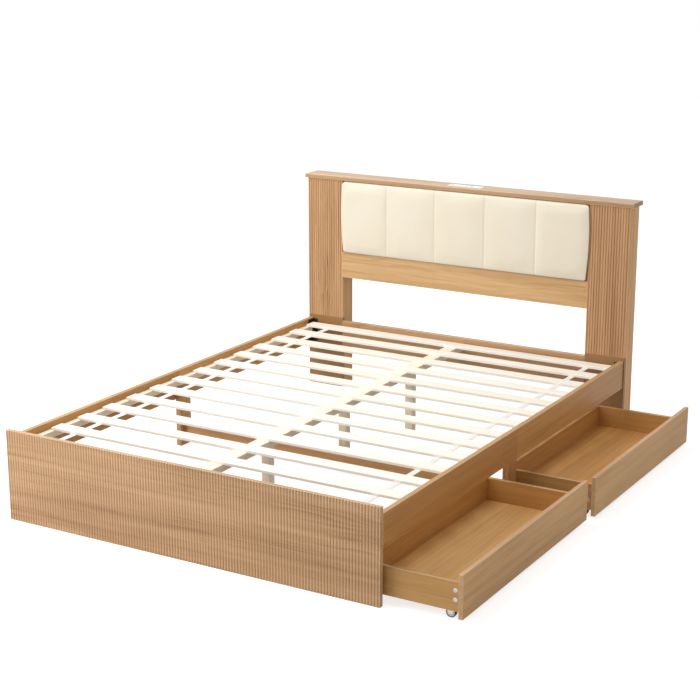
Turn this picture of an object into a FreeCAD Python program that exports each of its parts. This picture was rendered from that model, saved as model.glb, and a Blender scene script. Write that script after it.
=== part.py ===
import FreeCAD, Part
import os
import re

import Sketcher
from FreeCAD import Rotation, Vector

# A full-size bed: fluted foot panel, two-piece side rails, slats on a centre beam, a headboard of
# two fluted columns with a channelled pad, and two drawers that roll on the floor under one side.
# Millimetres, +Z up. The origin is on the floor under the middle leg of the centre beam,
# +X points to the drawer side and +Y to the headboard.

DIMENSIONS = {
    # whole frame
    "bed_width": 1440,
    "edge_ease": 1,
    "overrun": 2,
    # foot panel
    "foot_height": 318,
    "foot_thickness": 18,
    # flutes milled in the foot panel and the column fronts
    "flute_pitch": 10.9,
    "flute_crest": 3,
    "flute_knee": 4.1,
    "flute_knee_depth": 1,
    "flute_floor": 1.8,
    "flute_depth": 2.8,
    # side rails, each in two pieces that meet on the mid leg
    "rail_thickness": 18,
    "rail_height": 110,
    "rail_bottom": 184,
    "foot_rail_length": 940,
    "head_rail_length": 974,
    # ledger cleats inside the rails
    "ledger_width": 25,
    "ledger_height": 23,
    "ledger_end_gap": 6,
    # slats and the webbing under them
    "slat_drop": 26,
    "slat_count": 14,
    "slat_side_gap": 12,
    "slat_width": 55,
    "slat_thickness": 10,
    "slat_foot_gap": 38,
    "slat_head_gap": 23,
    "strap_width": 22,
    "strap_thickness": 1.5,
    "strap_inset": 98,
    # centre beam and its legs
    "beam_width": 50,
    "beam_height": 25,
    "leg_side": 32,
    "leg_pitch": 510,
    # mid legs behind the rail joints and the low bar between them
    "mid_leg_depth": 22,
    "mid_leg_width": 68,
    "crossbar_thickness": 18,
    "crossbar_height": 70,
    "crossbar_bottom": 25,
    "crossbar_gap": 26,
    # steel corner brackets and the bolts that hold the frame together
    "bracket_leg": 44,
    "bracket_end_leg": 20,
    "bracket_height": 100,
    "bracket_thickness": 3,
    "bracket_rise": 4,
    "bracket_bend": 3,
    "bracket_bolt_reach": 27,
    "bracket_end_bolt_reach": 11.5,
    "bracket_bolt_low": 28,
    "bracket_bolt_rise": 44,
    "bolt_head": 13,
    "bolt_head_height": 4,
    "leg_bolt_reach": 17,
    "leg_bolt_low": 22,
    "leg_bolt_rise": 26,
    # headboard
    "column_side_step": 4,
    "column_width": 167,
    "column_depth": 86,
    "column_height": 901,
    "column_front_thickness": 18,
    "column_side_thickness": 18,
    "column_back_thickness": 12,
    "flute_start": 310,
    "cap_thickness": 17,
    "cap_nose": 5,
    "cap_side_overhang": 12,
    "cap_front_overhang": 4,
    "cap_back_overhang": 6,
    "cross_rail_thickness": 18,
    "lower_rail_thickness": 18,
    "lower_rail_height": 109,
    "lower_rail_bottom": 486,
    "back_panel_thickness": 12,
    # pad and the board it is stretched over
    "pad_board_thickness": 9,
    "pad_depth": 21,
    "pad_seam_sink": 5,
    "pad_edge_depth": 9,
    "pad_side_gap": 2.5,
    "pad_end_gap": 1,
    "pad_corner_draw": 7,
    "pad_channels": 5,
    # power insert let into the cap
    "insert_length": 152,
    "insert_width": 44,
    "insert_rim": 2,
    "insert_lip": 4,
    "insert_body_depth": 34,
    "insert_clearance": 0.3,
    "insert_setback": 45,
    "outlet_length": 34,
    "outlet_width": 27,
    "outlet_sink": 1.5,
    "outlet_spread": 42,
    "port_length": 13,
    "port_width": 6,
    "port_sink": 1.5,
    "port_spread": 16,
    # drawers, alike, one behind the other
    "drawer_end_gap": 7,
    "drawer_joint_gap": 3,
    "drawer_leg_gap": 11,
    "drawer_leg_room": 31,
    "foot_drawer_open": 262,
    "head_drawer_open": 274,
    "drawer_front_height": 141,
    "drawer_front_bottom": 12,
    "drawer_front_thickness": 15,
    "drawer_box_inset": 8,
    "drawer_box_depth": 333,
    "drawer_side_height": 95,
    "drawer_side_bottom": 30,
    "drawer_side_thickness": 12,
    "drawer_back_thickness": 12,
    "drawer_floor_thickness": 5,
    "drawer_floor_rise": 10,
    "drawer_groove_depth": 5,
    "drawer_groove_clearance": 0.2,
    "cam_diameter": 15,
    "cam_depth": 9,
    "cam_recess": 0.4,
    "cam_clearance": 0.1,
    "cam_inset": 15,
    "cam_drop": 28,
    "cam_spacing": 30,
    # casters under the drawers
    "wheel_radius": 16,
    "wheel_width": 12,
    "axle_diameter": 5,
    "axle_clearance": 0.06,
    "fork_thickness": 1.6,
    "fork_wheel_gap": 0.5,
    "fork_length": 34,
    "fork_foot_length": 12,
    "fork_foot_drop": 5,
    "caster_front_inset": 37,
    "caster_back_inset": 31,
    "caster_side_inset": 24,
}

# Heights of the pad's sections and how full each one is, as shares of its height and depth,
# and how much of the corner draw its sides have there.
PAD_HEIGHT_SHARES = (0, 0.035, 0.11, 0.5, 0.89, 0.965, 1)
PAD_FULL_SHARES = (0.3, 0.68, 0.92, 1, 0.92, 0.68, 0.3)
PAD_DRAW_SHARES = (1, 0.75, 0.45, 0, 0.45, 0.75, 1)

# Places that many pieces share, as formulas of the sizes.
HALF = "bed_width / 2"
RAIL_INNER = "(bed_width / 2 - rail_thickness)"
SLAT_SEAT = "(rail_bottom + rail_height - slat_drop)"
RAIL_JOINT = "(-leg_side / 2 - crossbar_gap - crossbar_thickness / 2)"
FOOT_FACE = f"({RAIL_JOINT} - foot_rail_length)"
HEAD_FACE = f"({RAIL_JOINT} + head_rail_length)"
SLAT_PITCH = (
    "((foot_rail_length + head_rail_length - slat_foot_gap - slat_head_gap - slat_width)"
    " / (slat_count - 1))"
)
COLUMN_OUTER = "(bed_width / 2 + column_side_step)"
COLUMN_INNER = f"({COLUMN_OUTER} - column_width)"
LOWER_RAIL_TOP = "(lower_rail_bottom + lower_rail_height)"
BRACKET_BOTTOM = "(rail_bottom + bracket_rise)"
FLOOR_UNDERSIDE = "(drawer_side_bottom + drawer_floor_rise)"
BOLT_HEIGHTS = ("bracket_bolt_low", "bracket_bolt_low + bracket_bolt_rise")
LEG_BOLT_HEIGHTS = ("leg_bolt_low", "leg_bolt_low + leg_bolt_rise")

doc = FreeCAD.newDocument("bed_with_drawers")
sizes = doc.addObject("Spreadsheet::Sheet", "Sizes")
for row, (name, size) in enumerate(DIMENSIONS.items(), start=1):
    sizes.set(f"A{row}", name)
    sizes.set(f"B{row}", str(size))
    sizes.setAlias(f"B{row}", name)
doc.recompute()

nodes = []


def formula(text):
    """The text with the sheet's name before every size that it mentions."""
    return re.sub(r"\b(?!floor\b)[a-z]\w*", r"Sizes.\g<0>", text)


def bind(thing, setting, text):
    thing.setExpression(setting, formula(text))


def place(thing, corner):
    for axis, text in zip("xyz", corner):
        bind(thing, f"Placement.Base.{axis}", text)


def keep(thing, label):
    """Name a finished sub-part, which is written to a file of that name."""
    thing.Label = label
    nodes.append(thing)
    return thing


def group(label, things):
    """Like pieces that share one node, each still a solid of its own."""
    together = doc.addObject("Part::Compound", label)
    together.Links = things
    return keep(together, label)


def across(side, inner, width):
    """Low X of a piece that starts at the distance inner from the centre line, on one side."""
    return inner if side == "right" else f"-({inner}) - ({width})"


def origin_feature(body, role):
    """One of the body's own planes or axes, by its role."""
    return next(item for item in body.Origin.OriginFeatures if item.Role == role)


def sketch_on(body, plane, at=("0", "0", "0")):
    """An empty sketch on one of the body's own planes, its corner moved along the plane's axes."""
    sketch = body.newObject("Sketcher::SketchObject", f"{body.Name}_sketch")
    sketch.AttachmentSupport = [(origin_feature(body, plane), "")]
    sketch.MapMode = "FlatFace"
    for axis, text in zip("xyz", at):
        bind(sketch, f"AttachmentOffset.Base.{axis}", text)
    return sketch


def measure(sketch, name, text, *constraint):
    """A dimension of the sketch that follows a formula of the sizes."""
    index = sketch.addConstraint(Sketcher.Constraint(*constraint, 1))
    sketch.renameConstraint(index, name)
    bind(sketch, f"Constraints.{name}", text)


def rectangle(body, plane, width, height, at=("0", "0", "0")):
    """A sketched rectangle from its corner, drawn as a unit square and stretched by its sizes."""
    sketch = sketch_on(body, plane, at)
    outline(sketch, [Vector(0, 0, 0), Vector(1, 0, 0), Vector(1, 1, 0), Vector(0, 1, 0)])
    for line in range(4):
        sketch.addConstraint(Sketcher.Constraint("Vertical" if line % 2 else "Horizontal", line))
    sketch.addConstraint(Sketcher.Constraint("Coincident", 0, 1, -1, 1))
    measure(sketch, "width", width, "DistanceX", 0, 1, 0, 2)
    measure(sketch, "height", height, "DistanceY", 1, 1, 1, 2)
    return sketch


def outline(sketch, points):
    """Straight lines from point to point and back to the first, joined at their ends."""
    for start, end in zip(points, points[1:] + points[:1]):
        sketch.addGeometry(Part.LineSegment(start, end))
    for line in range(len(points)):
        following = (line + 1) % len(points)
        sketch.addConstraint(Sketcher.Constraint("Coincident", line, 2, following, 1))


def circles(body, plane, spots, diameter, at=("0", "0", "0")):
    """Sketched circles of one diameter at spots given by their distances along the plane."""
    sketch = sketch_on(body, plane, at)
    for index, (along, up) in enumerate(spots):
        sketch.addGeometry(Part.Circle(Vector(index + 1, index + 1, 0), Vector(0, 0, 1), 1))
        measure(sketch, f"along_{index}", along, "DistanceX", -1, 1, index, 3)
        measure(sketch, f"up_{index}", up, "DistanceY", -1, 1, index, 3)
        measure(sketch, f"diameter_{index}", diameter, "Diameter", index)
    return sketch


def pad(body, sketch, length, midplane=False, downwards=False):
    feature = body.newObject("PartDesign::Pad", f"{body.Name}_pad")
    feature.Profile = sketch
    feature.Midplane = midplane
    feature.Reversed = downwards
    bind(feature, "Length", length)
    return feature


def cut(body, sketch, depth=None, along_normal=False, midplane=False):
    """A pocket of the given depth, or right through, against the sketch's normal or along it."""
    feature = body.newObject("PartDesign::Pocket", f"{body.Name}_cut")
    feature.Profile = sketch
    feature.Reversed = along_normal
    feature.Midplane = midplane
    if depth is None:
        feature.Type = "ThroughAll"
    else:
        bind(feature, "Length", depth)
    return feature


def edges_within(shape, low, high):
    """The names of the edges whose two ends lie in the box between the two corners."""
    inside = FreeCAD.BoundBox(Vector(*low), Vector(*high))
    return [
        f"Edge{number}"
        for number, edge in enumerate(shape.Edges, start=1)
        if all(inside.isInside(vertex.Point) for vertex in edge.Vertexes)
    ]


def rounded(body, feature, names, radius):
    fillet = body.newObject("PartDesign::Fillet", f"{body.Name}_round")
    fillet.Base = (feature, names)
    bind(fillet, "Radius", radius)
    body.Tip = fillet


def board(label, size, corner):
    """A straight board from its low corner, with every edge slightly eased."""
    body = doc.addObject("PartDesign::Body", label)
    stock = pad(body, rectangle(body, "XY_Plane", size[0], size[1]), size[2])
    eased = body.newObject("PartDesign::Chamfer", f"{label}_eased")
    eased.Base = (stock, [])
    eased.UseAllEdges = True
    bind(eased, "Size", "edge_ease")
    place(body, corner)
    body.Label = label
    return body


def flutes(body, width, start=None):
    """Vertical flutes side by side over a board's front, from a height upwards, each with a narrow
    floor and two facets a side that round the reed between it and the next."""
    count = f"floor({width} / flute_pitch)"
    first = f"({width} - ({count} - 1) * flute_pitch) / 2"
    sketch = sketch_on(body, "XY_Plane", (first, "0", start or "0"))
    half = (
        ((sizes.flute_pitch - sizes.flute_crest) / 2, -sizes.overrun),
        ((sizes.flute_pitch - sizes.flute_crest) / 2, 0),
        (sizes.flute_knee / 2, sizes.flute_knee_depth),
        (sizes.flute_floor / 2, sizes.flute_depth),
    )
    points = [Vector(x, y, 0) for x, y in half] + [Vector(-x, y, 0) for x, y in reversed(half)]
    outline(sketch, points)
    last = len(points) - 1
    for corner in range(len(half)):
        sketch.addConstraint(Sketcher.Constraint("Symmetric", corner, 1, last - corner, 1, -2))
    sketch.addConstraint(Sketcher.Constraint("PointOnObject", 1, 1, -1))
    sketch.addConstraint(Sketcher.Constraint("Vertical", 0))
    measure(sketch, "mouth", "flute_pitch - flute_crest", "DistanceX", last - 1, 1, 1, 1)
    measure(sketch, "knee", "flute_knee", "DistanceX", last - 2, 1, 2, 1)
    measure(sketch, "floor_width", "flute_floor", "DistanceX", last - 3, 1, 3, 1)
    measure(sketch, "knee_depth", "flute_knee_depth", "DistanceY", 1, 1, 2, 1)
    measure(sketch, "depth", "flute_depth", "DistanceY", 1, 1, 3, 1)
    measure(sketch, "lift", "overrun", "DistanceY", 0, 1, 1, 1)
    flute = cut(body, sketch, along_normal=True)
    pattern = body.newObject("PartDesign::LinearPattern", f"{body.Name}_flutes")
    pattern.Originals = [flute]
    pattern.Direction = (sketch, ["H_Axis"])
    bind(pattern, "Length", f"({count} - 1) * flute_pitch")
    bind(pattern, "Occurrences", count)
    body.Tip = pattern


def foot_panel():
    """The fluted panel across the foot, standing on the floor."""
    body = board(
        "foot_panel",
        ("bed_width", "foot_thickness", "foot_height"),
        (f"-{HALF}", f"{FOOT_FACE} - foot_thickness", "0"),
    )
    flutes(body, "bed_width")
    keep(body, "foot_panel")


def side_rails():
    """Four rail pieces, two a side, which meet over the mid legs."""
    for side in ("left", "right"):
        for end in ("foot", "head"):
            low_y = FOOT_FACE if end == "foot" else RAIL_JOINT
            body = board(
                f"side_rail_{side}_{end}",
                ("rail_thickness", f"{end}_rail_length", "rail_height"),
                (across(side, RAIL_INNER, "rail_thickness"), low_y, "rail_bottom"),
            )
            keep(body, body.Label)


def ledgers():
    """Pine cleats along the inside of the rails, which the slats lie on."""
    shorter = "bracket_leg + ledger_end_gap"
    for side in ("left", "right"):
        for end in ("foot", "head"):
            low_y = f"{FOOT_FACE} + {shorter}" if end == "foot" else RAIL_JOINT
            inner = f"{RAIL_INNER} - ledger_width"
            body = board(
                f"ledger_{side}_{end}",
                ("ledger_width", f"{end}_rail_length - ({shorter})", "ledger_height"),
                (across(side, inner, "ledger_width"), low_y, f"{SLAT_SEAT} - ledger_height"),
            )
            keep(body, body.Label)


def mid_legs():
    """The two legs behind the rail joints, up to the ledgers."""
    for side in ("left", "right"):
        body = board(
            f"mid_leg_{side}",
            ("mid_leg_depth", "mid_leg_width", f"{SLAT_SEAT} - ledger_height"),
            (
                across(side, f"{RAIL_INNER} - mid_leg_depth", "mid_leg_depth"),
                f"{RAIL_JOINT} - mid_leg_width / 2",
                "0",
            ),
        )
        keep(body, body.Label)


def mid_crossbar():
    """The low bar between the mid legs, a gap before the middle leg of the beam."""
    inner = f"({RAIL_INNER} - mid_leg_depth)"
    body = board(
        "mid_crossbar",
        (f"2 * {inner}", "crossbar_thickness", "crossbar_height"),
        (f"-{inner}", f"{RAIL_JOINT} - crossbar_thickness / 2", "crossbar_bottom"),
    )
    keep(body, body.Label)


def head_cross_rail():
    """The rail between the columns at the height of the side rails."""
    body = board(
        "head_cross_rail",
        (f"2 * {COLUMN_INNER}", "cross_rail_thickness", "rail_height"),
        (f"-{COLUMN_INNER}", HEAD_FACE, "rail_bottom"),
    )
    keep(body, body.Label)


def centre_beam():
    """The pine beam under the middle of the slats, from the foot panel to the cross rail."""
    body = board(
        "centre_beam",
        ("beam_width", "foot_rail_length + head_rail_length", "beam_height"),
        ("-beam_width / 2", FOOT_FACE, f"{SLAT_SEAT} - beam_height"),
    )
    keep(body, body.Label)


def centre_legs():
    """Three square pine legs under the beam, the middle one on the origin."""
    for end, middle in (("foot", "-leg_pitch"), ("mid", "0"), ("head", "leg_pitch")):
        body = board(
            f"centre_leg_{end}",
            ("leg_side", "leg_side", f"{SLAT_SEAT} - beam_height"),
            ("-leg_side / 2", f"{middle} - leg_side / 2", "0"),
        )
        keep(body, body.Label)


def slats():
    """Pine slats across the ledgers and the beam."""
    boards = []
    end = f"({RAIL_INNER} - slat_side_gap)"
    for index in range(int(sizes.slat_count)):
        low_y = f"{FOOT_FACE} + slat_foot_gap + {index} * {SLAT_PITCH}"
        boards.append(board(
            f"slat_{index + 1}",
            (f"2 * {end}", "slat_width", "slat_thickness"),
            (f"-{end}", low_y, SLAT_SEAT),
        ))
    group("slats", boards)


def slat_straps():
    """Two webbing straps that the slats are stapled to, on their underside."""
    straps = []
    for side in ("left", "right"):
        strap = doc.addObject("Part::Box", f"slat_strap_{side}")
        bind(strap, "Length", "strap_width")
        bind(strap, "Width", f"(slat_count - 1) * {SLAT_PITCH} + slat_width")
        bind(strap, "Height", "strap_thickness")
        place(strap, (
            across(side, f"{RAIL_INNER} - strap_inset - strap_width", "strap_width"),
            f"{FOOT_FACE} + slat_foot_gap",
            f"{SLAT_SEAT} - strap_thickness",
        ))
        straps.append(strap)
    group("slat_straps", straps)


def corner_bracket(name, turn, legs, corner):
    """A bent steel angle in one corner of the frame, its legs turned to the rail and the end."""
    body = doc.addObject("PartDesign::Body", name)
    pad(body, rectangle(body, "XY_Plane", *legs), "bracket_height")
    beyond = [f"{leg} - bracket_thickness + overrun" for leg in legs]
    inside = ("bracket_thickness", "bracket_thickness", "0")
    hollow = cut(body, rectangle(body, "XY_Plane", *beyond, inside), along_normal=True)
    doc.recompute()
    near = sizes.bracket_thickness / 2
    bend = edges_within(hollow.Shape, (-near, -near, -near), (near, near, sizes.bracket_height + near))
    rounded(body, hollow, bend, "bracket_bend")
    body.Placement.Rotation = Rotation(Vector(0, 0, 1), turn)
    place(body, corner)
    return body


def corner_brackets():
    """The four angles, each with its long leg on the rail and its short leg on the end."""
    end_first = ("bracket_end_leg", "bracket_leg")
    rail_first = ("bracket_leg", "bracket_end_leg")
    places = (
        ("left_foot", 0, end_first, f"-{RAIL_INNER}", FOOT_FACE),
        ("right_foot", 90, rail_first, RAIL_INNER, FOOT_FACE),
        ("right_head", 180, end_first, RAIL_INNER, HEAD_FACE),
        ("left_head", 270, rail_first, f"-{RAIL_INNER}", HEAD_FACE),
    )
    group("corner_brackets", [
        corner_bracket(f"corner_bracket_{name}", turn, legs, (x, y, BRACKET_BOTTOM))
        for name, turn, legs, x, y in places
    ])


def bolt_head(name, seat, direction):
    """A hexagon bolt head that stands on its seat and points in the given direction."""
    head = doc.addObject("Part::Prism", name)
    head.Polygon = 6
    bind(head, "Circumradius", "bolt_head / 2")
    bind(head, "Height", "bolt_head_height")
    head.Placement.Rotation = Rotation(Vector(0, 0, 1), direction)
    place(head, seat)
    return head


def bracket_bolts():
    """Bolt heads on both legs of each corner bracket, two to the rail and two to the end."""
    heads = []
    for side, outward in (("left", 1), ("right", -1)):
        sign = "-" if side == "left" else ""
        face_x = f"{sign}({RAIL_INNER} - bracket_thickness)"
        bolt_x = f"{sign}({RAIL_INNER} - bracket_end_bolt_reach)"
        for end, inward in (("foot", 1), ("head", -1)):
            face = FOOT_FACE if end == "foot" else HEAD_FACE
            step = "+" if end == "foot" else "-"
            for index, height in enumerate(BOLT_HEIGHTS, start=1):
                name = f"bracket_bolt_{side}_{end}_{index}"
                level = f"{BRACKET_BOTTOM} + {height}"
                on_rail = (face_x, f"{face} {step} bracket_bolt_reach", level)
                on_end = (bolt_x, f"{face} {step} bracket_thickness", level)
                heads.append(bolt_head(f"{name}_rail", on_rail, Vector(outward, 0, 0)))
                heads.append(bolt_head(f"{name}_end", on_end, Vector(0, inward, 0)))
    group("bracket_bolts", heads)


def mid_leg_bolts():
    """Heads of the long bolts that go through the mid legs into the ends of the rail pieces."""
    heads = []
    for side, inward in (("left", 1), ("right", -1)):
        sign = "-" if side == "left" else ""
        face_x = f"{sign}({RAIL_INNER} - mid_leg_depth)"
        for end, step in (("foot", "-"), ("head", "+")):
            for index, height in enumerate(LEG_BOLT_HEIGHTS, start=1):
                seat = (face_x, f"{RAIL_JOINT} {step} leg_bolt_reach", f"rail_bottom + {height}")
                name = f"mid_leg_bolt_{side}_{end}_{index}"
                heads.append(bolt_head(name, seat, Vector(inward, 0, 0)))
    group("mid_leg_bolts", heads)


def columns():
    """The two box columns of the headboard: fluted front, two sides and a back."""
    behind = f"{HEAD_FACE} + column_front_thickness"
    side_depth = "column_depth - column_front_thickness"
    for side in ("left", "right"):
        front = board(
            f"column_{side}_front",
            ("column_width", "column_front_thickness", "column_height"),
            (across(side, COLUMN_INNER, "column_width"), HEAD_FACE, "0"),
        )
        flutes(front, "column_width", "flute_start")
        keep(front, front.Label)
        for face, inner in (
            ("inner", COLUMN_INNER),
            ("outer", f"{COLUMN_OUTER} - column_side_thickness"),
        ):
            panel = board(
                f"column_{side}_{face}_side",
                ("column_side_thickness", side_depth, "column_height"),
                (across(side, inner, "column_side_thickness"), behind, "0"),
            )
            keep(panel, panel.Label)
        width = "column_width - 2 * column_side_thickness"
        back = board(
            f"column_{side}_back",
            (width, "column_back_thickness", "column_height"),
            (
                across(side, f"{COLUMN_INNER} + column_side_thickness", width),
                f"{HEAD_FACE} + column_depth - column_back_thickness",
                "0",
            ),
        )
        keep(back, back.Label)


INSERT_BODY_LENGTH = "(insert_length - 2 * insert_lip)"
INSERT_BODY_WIDTH = "(insert_width - 2 * insert_lip)"
CAP_FRONT = f"({HEAD_FACE} - cap_front_overhang)"
INSERT_LOW_Y = f"({CAP_FRONT} + insert_setback - insert_width / 2)"


def top_cap():
    """The shelf over the headboard, rounded along its top, rebated and cut through for the insert."""
    width = f"2 * ({COLUMN_OUTER} + cap_side_overhang)"
    depth = "column_depth + cap_front_overhang + cap_back_overhang"
    body = doc.addObject("PartDesign::Body", "top_cap")
    stock = pad(body, rectangle(body, "XY_Plane", width, depth), "cap_thickness")
    doc.recompute()
    reach = sizes.bed_width + 2 * (sizes.column_side_step + sizes.cap_side_overhang)
    near = sizes.cap_thickness / 2
    top = edges_within(stock.Shape, (-near, -near, near), (reach + near, reach + near, reach))
    rounded(body, stock, top, "cap_nose")
    place(body, (f"-({width}) / 2", CAP_FRONT, "column_height"))
    openings = (
        ("insert_length", "insert_width", "0", "insert_rim"),
        (INSERT_BODY_LENGTH, INSERT_BODY_WIDTH, "insert_lip", None),
    )
    for length, breadth, lip, sink in openings:
        corner = (
            f"({width} - {length}) / 2 - insert_clearance",
            f"insert_setback - insert_width / 2 + {lip} - insert_clearance",
            "cap_thickness",
        )
        sketch = rectangle(
            body,
            "XY_Plane",
            f"{length} + 2 * insert_clearance",
            f"{breadth} + 2 * insert_clearance",
            corner,
        )
        body.Tip = cut(body, sketch, sink)
    keep(body, "top_cap")


def power_insert():
    """The white plastic power insert: a rim in the cap's rebate, a body below, outlets and ports."""
    body = doc.addObject("PartDesign::Body", "power_insert")
    pad(body, rectangle(body, "XY_Plane", "insert_length", "insert_width"), "insert_rim")
    lip = ("insert_lip", "insert_lip", "0")
    lower = rectangle(body, "XY_Plane", INSERT_BODY_LENGTH, INSERT_BODY_WIDTH, lip)
    pad(body, lower, "insert_body_depth", downwards=True)
    faces = [
        ("outlet_length", "outlet_width", "outlet_sink", f"{sign} outlet_spread") for sign in "-+"
    ]
    faces += [("port_width", "port_length", "port_sink", f"{sign} port_spread / 2") for sign in "-+"]
    for length, width, sink, spread in faces:
        corner = (
            f"(insert_length - {length}) / 2 {spread}",
            f"(insert_width - {width}) / 2",
            "insert_rim",
        )
        body.Tip = cut(body, rectangle(body, "XY_Plane", length, width, corner), sink)
    place(body, (
        "-insert_length / 2",
        INSERT_LOW_Y,
        "column_height + cap_thickness - insert_rim",
    ))
    keep(body, "power_insert")


def headboard_boards():
    """The lower rail, the closing panel behind and the board that carries the pad."""
    width = f"2 * {COLUMN_INNER}"
    low_x = f"-{COLUMN_INNER}"
    lower_rail = board(
        "headboard_lower_rail",
        (width, "lower_rail_thickness", "lower_rail_height"),
        (low_x, HEAD_FACE, "lower_rail_bottom"),
    )
    keep(lower_rail, lower_rail.Label)
    back_panel = board(
        "headboard_back_panel",
        (width, "back_panel_thickness", "column_height - lower_rail_bottom"),
        (low_x, f"{HEAD_FACE} + column_depth - back_panel_thickness", "lower_rail_bottom"),
    )
    keep(back_panel, back_panel.Label)
    pad_board = board(
        "pad_board",
        (width, "pad_board_thickness", f"column_height - {LOWER_RAIL_TOP}"),
        (low_x, f"{HEAD_FACE} + lower_rail_thickness - pad_board_thickness", LOWER_RAIL_TOP),
    )
    keep(pad_board, pad_board.Label)


def pad_section(height, half_width, full):
    """One level outline of the pad: flat back, short sides and a row of swelling channels."""
    channels = int(sizes.pad_channels)
    width = 2 * half_width / channels
    seam = -(sizes.pad_depth - sizes.pad_seam_sink) * full
    edge = -sizes.pad_edge_depth * full
    fronts = [edge] + [seam] * (channels - 1) + [edge]
    points = [
        Vector(half_width - index * width, front, height) for index, front in enumerate(fronts)
    ]
    edges = [Part.LineSegment(Vector(half_width, 0, height), points[0])]
    for start, end in zip(points, points[1:]):
        crest = Vector((start.x + end.x) / 2, -sizes.pad_depth * full, height)
        edges.append(Part.Arc(start, crest, end))
    edges.append(Part.LineSegment(points[-1], Vector(-half_width, 0, height)))
    edges.append(Part.LineSegment(Vector(-half_width, 0, height), Vector(half_width, 0, height)))
    return Part.Wire([edge.toShape() for edge in edges])


def headboard_pad():
    """The pad: crowned, drawn in at its corners and sewn into upright channels."""
    lower_rail_top = sizes.lower_rail_bottom + sizes.lower_rail_height
    height = sizes.column_height - lower_rail_top - 2 * sizes.pad_end_gap
    half_width = sizes.bed_width / 2 - sizes.column_width - sizes.pad_side_gap
    sections = [
        pad_section(share * height, half_width - draw * sizes.pad_corner_draw, full)
        for share, full, draw in zip(PAD_HEIGHT_SHARES, PAD_FULL_SHARES, PAD_DRAW_SHARES)
    ]
    cushion = doc.addObject("Part::Feature", "headboard_pad")
    cushion.Shape = Part.makeLoft(sections, True, True)
    place(cushion, (
        "0",
        f"{HEAD_FACE} + lower_rail_thickness - pad_board_thickness",
        f"{LOWER_RAIL_TOP} + pad_end_gap",
    ))
    keep(cushion, "headboard_pad")


def groove(body, plane, length, corner, along_normal):
    """The slot in a drawer board that the drawer's floor slides into."""
    height = "drawer_floor_thickness + 2 * drawer_groove_clearance"
    sketch = rectangle(body, plane, length, height, corner)
    body.Tip = cut(body, sketch, "drawer_groove_depth + drawer_groove_clearance", along_normal)


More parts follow.
